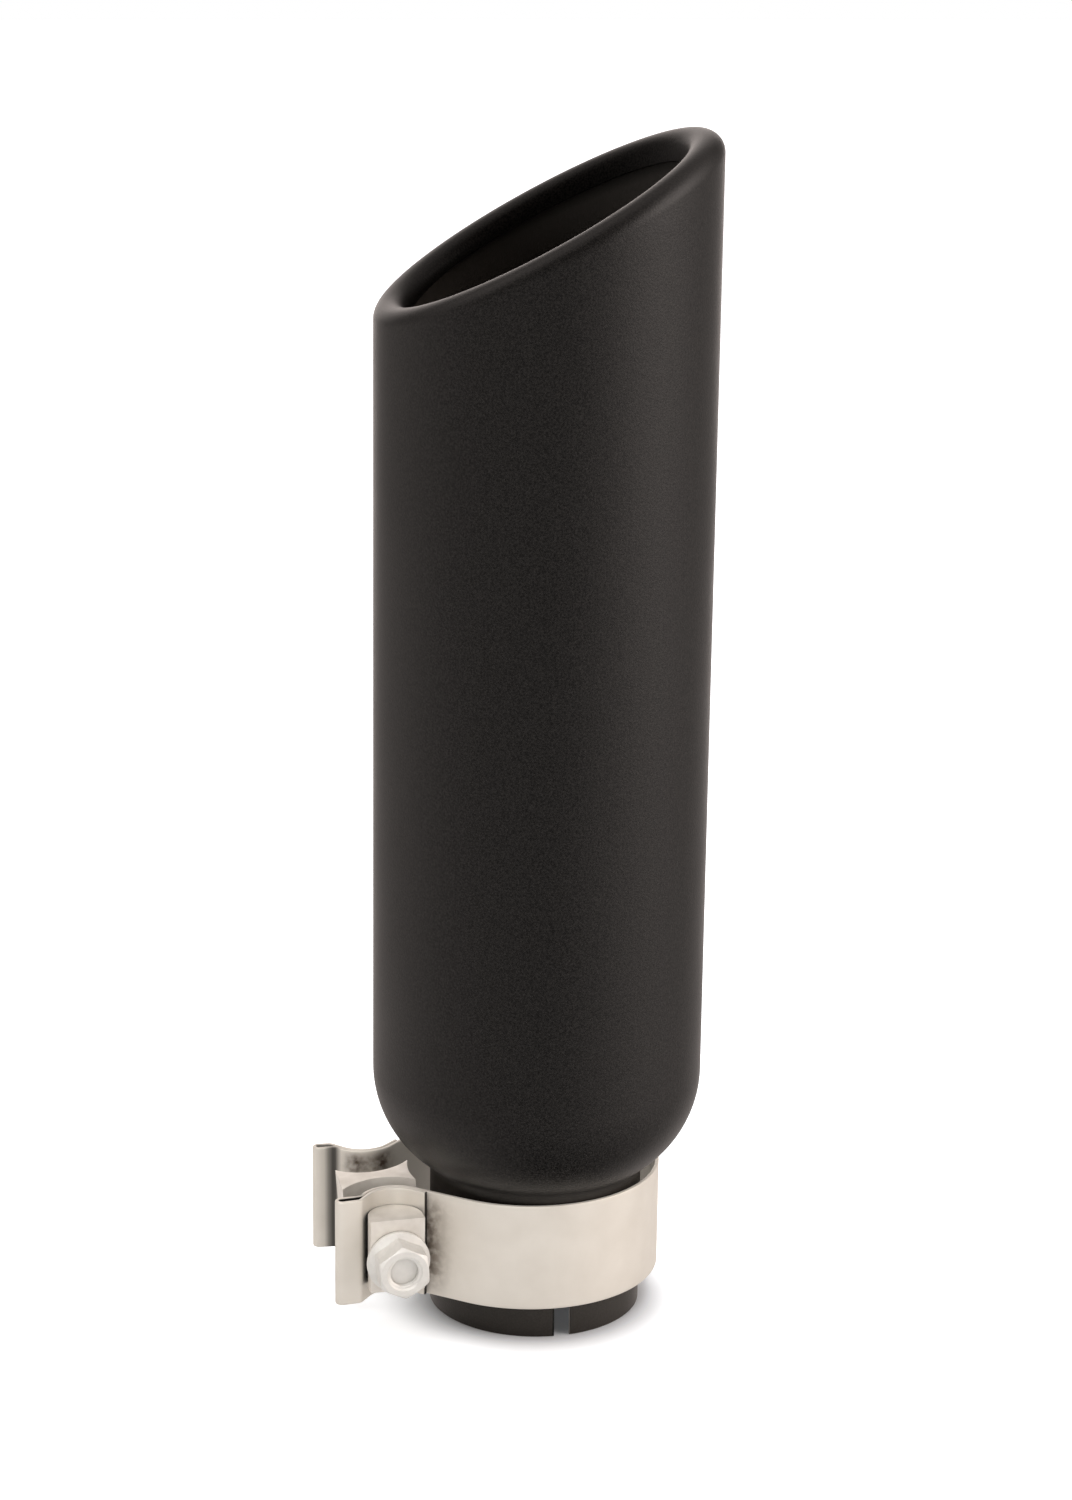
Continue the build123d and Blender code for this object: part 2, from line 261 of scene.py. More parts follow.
def drawnBar():
    material, tree, skin = newMaterial("bright drawn plated bar")
    place = addNode(tree, "ShaderNodeTexCoord").outputs["Object"]
    perM = 1000 / bar["lineMm"]
    drawn = addNode(tree, "ShaderNodeMapping",
                    {"Vector": place, "Scale": (perM, perM, bar["linesPerM"])}).outputs["Vector"]
    lines = addNode(tree, "ShaderNodeTexNoise",
                    {"Vector": drawn, "Scale": 1.0, "Detail": 2.0}).outputs["Fac"]
    cloud = addNode(tree, "ShaderNodeTexNoise",
                    {"Vector": place, "Scale": 1000 / bar["cloudMm"], "Detail": 4.0}).outputs["Fac"]
    tone = addNode(tree, "ShaderNodeMix",
                   {"Factor": cloud, "A": linear(bar["dull"]), "B": linear(bar["pale"])},
                   data_type="RGBA").outputs["Result"]
    # painted shade: the bar turns near black where other surfaces close in on it, read by ambient occlusion
    closed = addNode(tree, "ShaderNodeAmbientOcclusion", {"Distance": bar["shadeMm"] / 1000},
                     samples=8).outputs["AO"]
    fold = addNode(tree, "ShaderNodeMapRange",
                   {"Value": closed, "From Min": 0.5, "From Max": 0.2}).outputs["Result"]
    shaded = addNode(tree, "ShaderNodeMix", {"Factor": fold, "A": tone, "B": linear(bar["paintedShade"])},
                    data_type="RGBA").outputs["Result"]
    tree.links.new(shaded, skin.inputs["Base Color"])
    rough = addNode(tree, "ShaderNodeMapRange",
                    {"Value": cloud, "To Min": bar["roughness"] + bar["worn"],
                     "To Max": bar["roughness"] - bar["worn"]}).outputs["Result"]
    tree.links.new(rough, skin.inputs["Roughness"])
    bump = addNode(tree, "ShaderNodeBump",
                   {"Height": lines, "Strength": 0.3,
                    "Distance": bar["lineHeight"] / 1000}).outputs["Normal"]
    tree.links.new(bump, skin.inputs["Normal"])
    skin.inputs["Metallic"].default_value = bar["metallic"]
    return material


# Cold-forged steel, bright zinc plated: pale and fairly glossy, a little cloudy.
plate = {"pale": "#dcd9d3", "dull": "#c4c1bb", "roughness": 0.46, "metallic": 0.35, "cloudMm": 3}


def brightZinc():
    material, tree, skin = newMaterial("bright zinc plated steel")
    place = addNode(tree, "ShaderNodeTexCoord").outputs["Object"]
    cloud = addNode(tree, "ShaderNodeTexNoise",
                    {"Vector": place, "Scale": 1000 / plate["cloudMm"], "Detail": 4.0}).outputs["Fac"]
    tone = addNode(tree, "ShaderNodeMix",
                   {"Factor": cloud, "A": linear(plate["dull"]), "B": linear(plate["pale"])},
                   data_type="RGBA").outputs["Result"]
    tree.links.new(tone, skin.inputs["Base Color"])
    rough = addNode(tree, "ShaderNodeMapRange",
                    {"Value": cloud, "To Min": plate["roughness"] + 0.12,
                     "To Max": plate["roughness"] - 0.1}).outputs["Result"]
    tree.links.new(rough, skin.inputs["Roughness"])
    skin.inputs["Metallic"].default_value = plate["metallic"]
    return material


coatFinish = blackPowderCoat()
stripFinish = rolledStainless()
barFinish = drawnBar()
plateFinish = brightZinc()
print("materials ready")


# tip shell, and the points each part of its outline gets
tip = {"neck": 32.95, "body": 50.8, "wall": 1.2, "shoulder": 35.8, "shoulderTop": 77.6, "blend": 4.5,
       "cutAngle": 28.8, "cutHeight": 333.7, "roll": 5.3, "land": 0.3, "lipDrop": 1.5, "edge": 0.25,
       "slots": 3, "slotWidth": 5.0, "slotLength": 36.0, "firstSlot": -85.9}
tipPoints = {"around": 288, "neck": 18, "blend": 10, "shoulder": 25, "wall": 40, "lip": 14, "lipInside": 10,
             "lipWall": 4}
# painted shade and light on the coat: how far its gloss is dimmed (to 0.5) and its colour paled (to 1), and
# the rows over which that fades in or out
tipLightShade = {"neck": 0.69, "blend": 0.55, "neckFade": 11, "lip": 0.5, "lipFrom": 2, "lipFade": 6, "inner": 1.0}


def tipSkin():
    # Rows are one closed run of points up the outside, over the rolled lip and down the inside; columns go
    # round the axis. The lip is a ball of fixed radius rolled between the upright wall and the slanted cut:
    # its centre lies on both offset surfaces, and the skin runs over it from the wall's way to the cut's.
    turn = np.linspace(0, 2 * np.pi, tipPoints["around"], endpoint=False)
    outward = np.stack([np.cos(turn), np.sin(turn), np.zeros_like(turn)], -1)
    lean = math.radians(tip["cutAngle"])
    normal = np.array([-math.sin(lean), 0, math.cos(lean)])
    ball = tip["roll"] - tip["land"] / 2
    mouth = tip["body"] - 2 * tip["roll"]

    def slantHeight(radius, rise):  # height of the slanted plane, raised along its normal, over a circle
        return tip["cutHeight"] + (rise + math.sin(lean) * radius * np.cos(turn)) / math.cos(lean)

    def overBall(centreRadius, size, start, end, steps):  # arc over the ball between two directions
        centre = outward * centreRadius
        centre[:, 2] = slantHeight(centreRadius, tip["roll"] - ball)
        share = np.linspace(0, 1, steps)[:, None, None]
        angle = np.arccos(np.clip((start * end).sum(-1), -1, 1))[None, :, None]
        direction = (np.sin((1 - share) * angle) * start + np.sin(share * angle) * end) / np.sin(angle)
        return centre + size * direction

    def ringRows(radii, heights):  # level rings
        flat = outward[None] * np.asarray(radii, float)[:, None, None]
        flat[..., 2] = np.asarray(heights, float)[:, None]
        return flat

    def upright(radius, lower, upper, steps):  # wall between heights that may change round the axis
        share = np.linspace(0, 1, steps)[:, None]
        rows = np.repeat((outward * radius)[None], steps, 0)
        rows[..., 2] = lower * (1 - share) + upper * share
        return rows

    def spunLower(inset):  # neck, hollow blend and round shoulder, from the bottom up
        shoulderX, blendX = tip["body"] - tip["shoulder"], tip["neck"] + tip["blend"]
        drop = math.sqrt((tip["shoulder"] + tip["blend"]) ** 2 - (blendX - shoulderX) ** 2)
        blendZ, slope = tip["shoulderTop"] - drop, math.atan2(drop, blendX - shoulderX)
        hollow, shoulder = tip["blend"] + inset, tip["shoulder"] - inset
        a = np.linspace(math.pi, math.pi - slope, tipPoints["blend"])
        b = np.linspace(-slope, 0, tipPoints["shoulder"] + 1)[1:]
        straight = np.linspace(tip["edge"], blendZ, tipPoints["neck"] + 1)[:-1]
        radii = [np.full(len(straight), tip["neck"] - inset), blendX + hollow * np.cos(a),
                 shoulderX + shoulder * np.cos(b)]
        heights = [straight, blendZ + hollow * np.sin(a), tip["shoulderTop"] + shoulder * np.sin(b)]
        return ringRows(np.concatenate(radii), np.concatenate(heights))

    out, into, cut = outward, -outward, np.broadcast_to(normal, outward.shape)
    tangent = slantHeight(tip["body"] - ball, tip["roll"] - ball)
    lipTangent = slantHeight(mouth + ball, tip["roll"] - ball)
    lipEnd = slantHeight(mouth, -tip["lipDrop"])
    lipEndIn = slantHeight(mouth + tip["wall"], -tip["lipDrop"])
    wall, edge = tip["wall"], tip["edge"]
    # painted light and shade: the outer neck, blend and lower shoulder, the lip's inner half and the inner
    # wall have their gloss dimmed for shade, and the neck and inner wall get a paler coat for light
    neckLightShade = np.concatenate([
        np.full(tipPoints["neck"], tipLightShade["neck"]),
        np.linspace(tipLightShade["neck"], tipLightShade["blend"], tipPoints["blend"]),
        tipLightShade["blend"] * np.clip(1 - np.arange(tipPoints["shoulder"]) / tipLightShade["neckFade"], 0, 1)])
    lipRow = np.arange(tipPoints["lip"])
    lipShade = tipLightShade["lip"] * np.clip((lipRow - tipLightShade["lipFrom"]) / tipLightShade["lipFade"], 0, 1)
    dull, paintedLight = tipLightShade["lip"], tipLightShade["inner"]
    parts = [  # rows, and their value of "inside"
        (spunLower(0), neckLightShade),
        (upright(tip["body"], tip["shoulderTop"], tangent, tipPoints["wall"])[1:-1], 0),
        (overBall(tip["body"] - ball, ball, out, cut, tipPoints["lip"]), 0),
        (overBall(mouth + ball, ball, cut, into, tipPoints["lip"]), lipShade),
        (upright(mouth, lipTangent, lipEnd + edge, tipPoints["lipWall"])[1:], dull),
        (upright(mouth + edge, lipEnd, lipEnd, 1), dull),
        (upright(mouth + wall - edge, lipEndIn, lipEndIn, 1), dull),
        (upright(mouth + wall, lipEndIn + edge, lipTangent, tipPoints["lipWall"])[:-1], dull),
        (overBall(mouth + ball, ball - wall, into, cut, tipPoints["lipInside"]), dull),
        (overBall(tip["body"] - ball, ball - wall, cut, out, tipPoints["lipInside"]), dull),
        (upright(tip["body"] - wall, tangent, tip["shoulderTop"], tipPoints["wall"])[1:-1], paintedLight),
        (spunLower(wall)[::-1], paintedLight),
        (ringRows([tip["neck"] - wall + edge, tip["neck"] - edge], [0, 0]), 0),
    ]
    grid = np.concatenate([rows for rows, share in parts])
    inside = np.concatenate([np.broadcast_to(share, len(rows)) for rows, share in parts])
    shell = makePiece("tipSkin", grid, gridFaces(*grid.shape[:2], wrapRows=True))
    markPoints(shell, "inside", np.repeat(inside, tipPoints["around"]))
    cutAway(shell, [slotCutter(tip["firstSlot"] + i * 360 / tip["slots"]) for i in range(tip["slots"])])
    carry(shell, "tip_shell", coatFinish)


def slotCutter(direction, reach=4, below=5):  # upright bar with a half-round top, out along a radius
    half = tip["slotWidth"] / 2
    top = polar(half, np.linspace(0, 180, 17)) + [0, tip["slotLength"] - half]
    outline = np.concatenate([[[half, -below]], top, [[-half, -below]]])
    depth = np.array([tip["neck"] - reach, tip["neck"] + reach])
    plan = depth[:, None, None] * polar(1, direction) + outline[None, :, :1] * polar(1, direction + 90)
    return makePiece("slotCutter", raised(plan, outline[None, :, 1]), tubeFaces(2, len(outline)))


tipSkin()


# clamp: plan in its own frame, x out along the ears and y along the bolt, then turned and set on the neck
clamp = {"turn": 183.3, "lean": 97.0, "bore": 79.6, "strip": 1.2, "width": 34.0, "base": 10.0,
         "clearance": 0.3, "leave": 47.7, "leaveRun": 18.7, "ear": 10.3, "heading": 50.0, "wall": 1.45,
         "bend": 1.8, "hemHeading": 4.0, "hem": 1.5, "nutHemRun": 5.6, "headHemRun": 4.0, "foldTail": 5.1,
         "foldGap": 0.15, "edge": 0.3, "runStep": 1.5, "arcStep": 0.8, "tailStep": 0.3, "flankPoints": 33}
ringRadius = clamp["bore"] / 2 + clamp["strip"] / 2
lap = clamp["strip"] + clamp["foldGap"]
outerLayer, innerLayer = clamp["ear"] - lap / 2, clamp["ear"] + lap / 2
seat = polar(ringRadius + innerLayer, clamp["leave"]) + polar(clamp["leaveRun"], clamp["leave"] - 90)
clampMiddle = clamp["base"] + clamp["width"] / 2
clampShift = polar(clamp["bore"] / 2 - tip["neck"] - clamp["clearance"], clamp["lean"])
bolt = {"radius": 5.0, "pitch": 1.5, "depth": 0.8, "recess": 2.2, "drop": 1.7, "seatGap": 0.1,
        "threaded": 46.0, "chamfer": 0.8, "fillet": 0.5, "ease": 0.05, "fitted": 3.0, "runOut": 3.0,
        "pip": 0.02}
holeRadius = bolt["radius"] + bolt["drop"] + bolt["seatGap"]


def onNeck(points):  # clamp frame to the tip's frame
    c, s = math.cos(math.radians(clamp["turn"])), math.sin(math.radians(clamp["turn"]))
    turned = points @ np.array([[c, s, 0], [-s, c, 0], [0, 0, 1]])
    return turned + [clampShift[0], clampShift[1], 0]


def boltCutter(radius, reach=90, sides=72):  # round bar along the bolt's line, through the whole clamp
    circle = polar(radius, np.linspace(0, 360, sides, endpoint=False))
    along = np.array([-reach, reach])[:, None]
    plan = np.stack(np.broadcast_arrays(circle[None, :, 0] + seat[0], along), -1)
    grid = raised(plan, clampMiddle - circle[None, :, 1])
    return makePiece("boltCutter", onNeck(grid), tubeFaces(2, sides))


def earArcs(hemRun):  # nut-side ear: folded layer, outer bend, open hem, inner bend, ring's layer
    heading, hemHeading, bend, hem = clamp["heading"], clamp["hemHeading"], clamp["bend"], clamp["hem"]
    sideways = polar(1, hemHeading + 90)
    innerBend = seat + polar(innerLayer + bend, heading - 90) + polar(clamp["wall"], heading)
    hemCentre = innerBend + sideways * (bend + hem) + polar(hemRun, hemHeading)
    outerBend = seat + polar(outerLayer + bend, heading - 90)
    short = (hemCentre + sideways * (hem - bend) - outerBend) @ sideways
    outerBend = outerBend + polar(short / math.sin(math.radians(heading - hemHeading)), heading)
    return [(seat, outerLayer, clamp["leave"] - 180, heading - 90),
            (outerBend, bend, heading + 90, hemHeading + 90),
            (hemCentre, hem, hemHeading + 90, hemHeading - 90),
            (innerBend, bend, hemHeading + 90, heading + 90),
            (seat, innerLayer, heading - 90, clamp["leave"] - 180)]


def stripPath():  # middle line: tangent arcs (centre, radius, start, end), straight between them
    hoop = [(np.zeros(2), ringRadius, clamp["leave"], 360 - clamp["leave"])]
    farEar = [(c * [1, -1], r, -e, -s) for c, r, s, e in reversed(earArcs(clamp["headHemRun"]))]
    points, tangents = [], []

    def straightTo(spot, tangent):
        gap = np.hypot(*(spot - points[-1][-1]))
        share = np.linspace(0, 1, int(gap / clamp["runStep"]) + 2)[1:-1, None]
        points.append(points[-1][-1] * (1 - share) + spot * share)
        tangents.append(np.repeat(tangent[None], len(share), 0))

    tailRun = np.array([[clamp["foldTail"]], [clamp["foldTail"] - clamp["tailStep"]]])
    for centre, radius, start, end in earArcs(clamp["nutHemRun"]) + hoop + farEar:
        length = math.radians(abs(end - start)) * radius
        angle = np.linspace(start, end, max(8, int(length / clamp["arcStep"])))
        spot = centre + polar(radius, angle)
        tangent = (1 if end > start else -1) * polar(1, angle + 90)
        if not points:
            points.append(spot[:1] - tangent[:1] * tailRun)
            tangents.append(np.repeat(tangent[:1], 2, 0))
        straightTo(spot[0], tangent[0])
        points.append(spot)
        tangents.append(tangent)
    tail = points[-1][-1] + tangents[-1][-1] * tailRun[::-1]
    straightTo(tail[0], tangents[-1][-1])
    points.append(tail)
    tangents.append(np.repeat(tangents[-1][-1:], 2, 0))
    points, tangents = np.concatenate(points), np.concatenate(tangents)
    fresh = np.concatenate([[True], np.hypot(*np.diff(points, axis=0).T) > 1e-4])  # drops doubled points
    return points[fresh], tangents[fresh]


# marks on the strip in mm: place out from the bolt, width and strength of each heated patch behind a saddle,
# then the brown patch on the ring beside the folded layer's end, then painted shade in the tight bends and
# the folds
marks = {"patches": ((4.6, 2.6, 1.0), (-4.8, 3.0, 1.0), (0.0, 3.0, 0.55)), "patchLevel": 12.6,
         "patchHeight": 3.4, "patchDepth": 3.0, "besideLevel": 0.95, "besideWidth": 4.6, "besideHeight": 15.0,
         "besideReach": 6.0, "earRun": 50.0, "bendShade": 0.9, "bendFrom": 1.2, "bendWidth": 0.7,
         "hemShade": 0.3, "hemWidth": 2.8, "foldDepth": 0.15, "foldFrom": 1.0, "farFold": 0.55}


def clampBand():
    # The strip's section, a flat bar with rounded edges, is carried along the middle line on its edge.
    path, tangent = stripPath()
    side = np.stack([-tangent[:, 1], tangent[:, 0]], -1)
    half, edge, low, high = clamp["strip"] / 2, clamp["edge"], clamp["base"], clamp["base"] + clamp["width"]
    corner = np.linspace(0, 90, 4)
    flank = np.linspace(low + edge, high - edge, clamp["flankPoints"] + 2)[1:-1]
    face = np.full(len(flank), half)
    section = np.concatenate([
        polar(edge, corner - 90) + [half - edge, low + edge],
        np.stack([face, flank], -1),
        polar(edge, corner) + [half - edge, high - edge],
        polar(edge, corner + 90) + [edge - half, high - edge],
        np.stack([-face, flank[::-1]], -1),
        polar(edge, corner + 180) + [edge - half, low + edge]])
    grid = raised(path[:, None] + section[None, :, :1] * side[:, None], section[None, :, 1])
    run = np.concatenate([[0], np.cumsum(np.hypot(*np.diff(path, axis=0).T))])[:, None]
    uv = np.stack([np.broadcast_to(run, grid.shape[:2]), grid[..., 2]], -1)
    faces = [corners[::-1] for corners in tubeFaces(*grid.shape[:2])]
    band = makePiece("clampStrip", onNeck(grid), faces, uv)

    across, level = grid[..., 0] - seat[0], np.abs(grid[..., 2] - clampMiddle)
    outside = np.abs(grid[..., 1]) > np.abs(path[:, None, 1])
    fromSeat = np.hypot(across, np.abs(grid[..., 1]) - seat[1])
    onEar = (fromSeat > clamp["ear"]) & (fromSeat < clamp["ear"] + marks["patchDepth"])
    patches = sum(strength * np.exp(-((across - spot) / width) ** 2)
                  for spot, width, strength in marks["patches"])
    behind = patches * np.exp(-((level - marks["patchLevel"]) / marks["patchHeight"]) ** 4) * onEar
    besideEar = np.abs(path[:, None, 1]) < seat[1] + marks["besideReach"]
    onRing = besideEar & (run > marks["earRun"]) & (run < run[-1] - marks["earRun"])
    fromFold = grid[..., 0] - path[0, 0]
    # a brown patch on the ring beside the folded layer's end, fading away from it
    beside = np.exp(-(fromFold / marks["besideWidth"]) ** 2) * np.exp(-(level / marks["besideHeight"]) ** 6)
    browning = np.maximum(behind, marks["besideLevel"] * beside * outside * onRing)
    markPoints(band, "brownPatch", np.clip(browning, 0, 1))

    # painted shade, near black, along the tight inner bend, beside the hem and inside the folds
    bendSpot = earArcs(0)[3][0]
    toBend = np.hypot(grid[..., 0] - bendSpot[0], np.abs(grid[..., 1]) - bendSpot[1])
    inBend = marks["bendShade"] * np.exp(-((toBend - marks["bendFrom"]) / marks["bendWidth"]) ** 2)
    inHem = (grid[..., 0] > bendSpot[0]) & ~outside
    byHem = marks["hemShade"] * np.exp(-(toBend / marks["hemWidth"]) ** 2) * inHem
    innerSide = section[None, :, 0] < marks["foldDepth"] - half
    inFold = innerSide & (path[:, None, 0] > bendSpot[0] - marks["foldFrom"])
    paintedShade = np.maximum(inBend + byHem, inFold * np.where(path[:, None, 1] > 0, 1.0, marks["farFold"]))
    # the cut ends painted near black: painted shade in the gap beside each end, and dirt on the sheared edge
    paintedShade[[0, -1]] = 1  # the strip's cut ends
    markPoints(band, "paintedShade", np.clip(paintedShade, 0, 1))
    cutAway(band, [boltCutter(holeRadius)])
    carry(band, "clamp_band", stripFinish)


clampBand()


# bars: a flat sheet of the bar's outline, given its height and then its hole and soft edges
saddle = {"ease": 0.5, "height": 23.4, "thickness": 12.1, "clearance": 0.1, "soft": 0.7}
block = {"length": 22.8, "width": 15.6, "waist": 5.2, "height": 33.6, "shift": 4.3, "reach": 0.6,
         "skew": -3.0, "roll": 4.5, "soft": 0.5, "holeEase": 0.1}
barEdges = {"steps": 3, "from": 35, "crease": 38}
seatFace = outerLayer - clamp["strip"] / 2 - saddle["clearance"]
saddleRadius = seatFace - saddle["ease"]
saddleFace = seat[1] - seatFace + saddle["thickness"]


def barPiece(name, sheet, height, soft, hole):  # sheet: grid of points on the bar's lower end
    piece = makePiece(name, sheet, gridFaces(*sheet.shape[:2], wrapCols=False))
    thick = piece.modifiers.new("height", "SOLIDIFY")
    thick.thickness = height / 1000
    thick.offset = -1
    cutAway(piece, [hole])
    soften = piece.modifiers.new("soft", "BEVEL")
    soften.width = soft / 1000
    soften.segments = barEdges["steps"]
    soften.limit_method = "ANGLE"
    soften.angle_limit = math.radians(barEdges["from"])
    soften.use_clamp_overlap = True
    settle(piece, barEdges["crease"])
    return piece


def saddleSheet(sign):  # across the bar, by from its half-round back to its flat face
    x = saddleRadius * np.sin(np.linspace(-math.pi / 2, math.pi / 2, 41))[:, None]
    share = np.linspace(0, 1, 6)[None]
    roundFace = seat[1] - seatFace + saddleRadius - np.sqrt(np.maximum(saddleRadius ** 2 - x ** 2, 0))
    y = roundFace * (1 - share) + saddleFace * share
    sheet = np.stack([x + 0 * y + seat[0], sign * y, 0 * y + clampMiddle - saddle["height"] / 2], -1)
    return onNeck(sheet if sign > 0 else sheet[::-1])


for name, node, sign in (("nutSaddle", "nut_side_saddle", 1), ("headSaddle", "head_side_saddle", -1)):
    piece = barPiece(name, saddleSheet(sign), saddle["height"], saddle["soft"], boltCutter(holeRadius))
    carry(piece, node, barFinish)


def blockSheet():  # along by across: waisted sides are arcs, the inner end is hollowed to the neck
    halfLength, halfWidth, waist = block["length"] / 2, block["width"] / 2, block["waist"] / 2
    rise = halfWidth - waist
    sideRadius = (halfLength ** 2 + rise ** 2) / (2 * rise)
    across = np.linspace(-1, 1, 15)[None]
    share = np.linspace(0, 1, 33)[:, None]
    hollow = tip["neck"] - math.sqrt(tip["neck"] ** 2 - halfWidth ** 2)
    inner = -halfLength + hollow * (1 - across ** 2)
    x = inner * (1 - share) + halfLength * share
    y = across * (waist + sideRadius - np.sqrt(sideRadius ** 2 - np.clip(np.abs(x), 0, halfLength) ** 2))
    sheet = np.stack([x + block["reach"], y, 0 * x - block["height"] / 2], -1)
    roll = Matrix.Rotation(math.radians(block["roll"]), 3, "Y")
    skew = Matrix.Rotation(math.radians(block["skew"]), 3, "Z")
    return onNeck(sheet @ np.array(roll @ skew).T + [seat[0], block["shift"], clampMiddle])


blockHole = boltCutter(holeRadius + block["holeEase"])
blockPiece = barPiece("reactionBlock", blockSheet(), block["height"], block["soft"], blockHole)
carry(blockPiece, "reaction_block", barFinish)


# bolt and nut: hexagon on a sloped flange, worked out as a radius for each direction and height
hexagon = {"flats": 7.5, "flange": 9.8, "rim": 1.6, "slope": 25.0, "crownSlope": 30.0, "crownShare": 0.96,
           "nutHeight": 10.2, "headHeight": 9.2, "countersink": 0.5, "boreEase": 0.3, "nutTurn": 94.5,
           "headTurn": -14.0, "cornerEase": 0.14, "cornerSpread": 3.5, "around": 192, "sharp": 24}
directions = np.linspace(0, 360, hexagon["around"], endpoint=False)
unitRing = np.ones((1, hexagon["around"]))
boltLevel = clampMiddle - bolt["drop"]
boltLength = 2 * saddleFace + hexagon["nutHeight"] - bolt["recess"]


def hexRows(height, cornerTurn):
    # From the flange's bearing face to the crown: flange and slope are a falling cone, the hexagon's radius
    # is its flats over the cosine of the turn from the nearest flat, and a cone at the crown trims corners.
    flats, rim = hexagon["flats"], hexagon["rim"]
    slope, crownSlope = (math.tan(math.radians(hexagon[key])) for key in ("slope", "crownSlope"))
    away = (directions - cornerTurn) % 60 - 30
    worn = hexagon["cornerEase"] * np.exp(-((30 - np.abs(away)) / hexagon["cornerSpread"]) ** 2)
    prism = flats / np.cos(np.radians(away)) - worn
    rise = (hexagon["flange"] - flats) * slope
    crown = hexagon["crownShare"] * flats
    shoulder = height - (flats / math.cos(math.pi / 6) - crown) * crownSlope
    rimHeights = [0.0, 0.12, 0.3, rim - 0.3, rim - 0.1, rim]
    rimInsets = [0.3, 0.1, 0, 0, 0.08, 0.3]  # rounds both edges of the flange's rim
    z = np.concatenate([rimHeights[:-1], np.linspace(rim, rim + rise, 16),
                        np.linspace(rim + rise, shoulder, 8)[1:], np.linspace(shoulder, height, 12)[1:]])
    flange = hexagon["flange"] - np.interp(z, rimHeights, rimInsets)
    cone = np.where(z <= rim, flange, hexagon["flange"] - rimInsets[-1] - (z - rim) / slope)
    trim = crown + (height - z) / crownSlope
    return np.maximum(cone[:, None], np.minimum(prism[None], trim[:, None])), z


def threadRows(start, end, phase, crest):  # groove: radius falls and rises once a pitch, shifted by the turn
    z = np.arange(start, end, bolt["pitch"] / 10)
    wave = np.abs(((z[:, None] / bolt["pitch"] - directions[None] / 360 + phase) % 1) * 2 - 1)
    return crest - bolt["depth"] * np.clip(wave * 1.25 - 0.12, 0, 1), z  # leaves a flat at crest and root


def alongBolt(radius, z, start):  # rings on the bolt's axis, from a place along it
    flat = polar(1, directions)[None] * radius[..., None]
    x, y = flat[..., 0] + seat[0], np.broadcast_to(z[:, None] + start, radius.shape)
    return onNeck(np.stack([x, y, boltLevel - flat[..., 1]], -1))


def clampNut():
    radius, z = hexRows(hexagon["nutHeight"], hexagon["nutTurn"])
    top, sink, bore = hexagon["nutHeight"], hexagon["countersink"], bolt["radius"] + bolt["ease"]
    thread, threadZ = threadRows(hexagon["boreEase"], top - sink, 0.0, bore)
    radius = np.concatenate([radius, unitRing * (bore + sink), unitRing * bore, thread[::-1],
                             unitRing * (bore + hexagon["boreEase"])])
    z = np.concatenate([z, [top, top - sink], threadZ[::-1], [0.0]])
    grid = alongBolt(radius, z, saddleFace)
    nut = makePiece("clampNut", grid, gridFaces(*grid.shape[:2], wrapRows=True), sharp=hexagon["sharp"])
    carry(nut, "clamp_nut", plateFinish)


def clampBolt():
    head, headZ = hexRows(hexagon["headHeight"], hexagon["headTurn"])
    shank, chamfer, fillet, pip = bolt["radius"], bolt["chamfer"], bolt["fillet"], bolt["pip"]
    plainEnd, crest = boltLength - bolt["threaded"], shank - bolt["ease"]
    inStep = -2 * saddleFace / bolt["pitch"]  # keeps the bolt's thread in step with the nut's
    thread, threadZ = threadRows(plainEnd, boltLength, inStep, crest)
    taper = np.clip((threadZ[:, None] - plainEnd) / bolt["runOut"], 0, 1)
    thread = crest * (1 - taper) + thread * taper
    thread = np.minimum(thread, shank - chamfer + np.maximum(boltLength - threadZ, 0)[:, None])
    neckRings = [unitRing * size for size in (shank + fillet, shank, crest)]
    headRings = [unitRing * size for size in (pip, shank / 2, shank)]
    endRings = [unitRing * size for size in (shank - chamfer, shank / 2, pip)]
    radius = np.concatenate([*headRings, head[::-1], *neckRings, thread, *endRings])
    z = np.concatenate([[-hexagon["headHeight"]] * 3, -headZ[::-1], [0.0, fillet, bolt["fitted"]], threadZ,
                        [boltLength] * 3])
    grid = alongBolt(radius, z, -saddleFace)
    made = makePiece("clampBolt", grid, tubeFaces(*grid.shape[:2]), sharp=hexagon["sharp"])
    carry(made, "clamp_bolt", plateFinish)


clampNut()
clampBolt()


# studio: white paper, a surround of soft panels, and lamps for the pale clamp and for the paper
studio = {"lens": 81.6, "place": (-0.19974, -0.96987, 0.45840), "pitch": 15.793, "heading": -11.55,
          "roll": 0.77, "floorHalf": 6, "floorTone": "#dcdfe3", "midGlow": 0.70, "midFrom": 0.0275,
          "midTo": 0.051, "farGlow": 0.30, "farFrom": 0.08, "farTo": 0.4, "tint": "#fff3ed"}
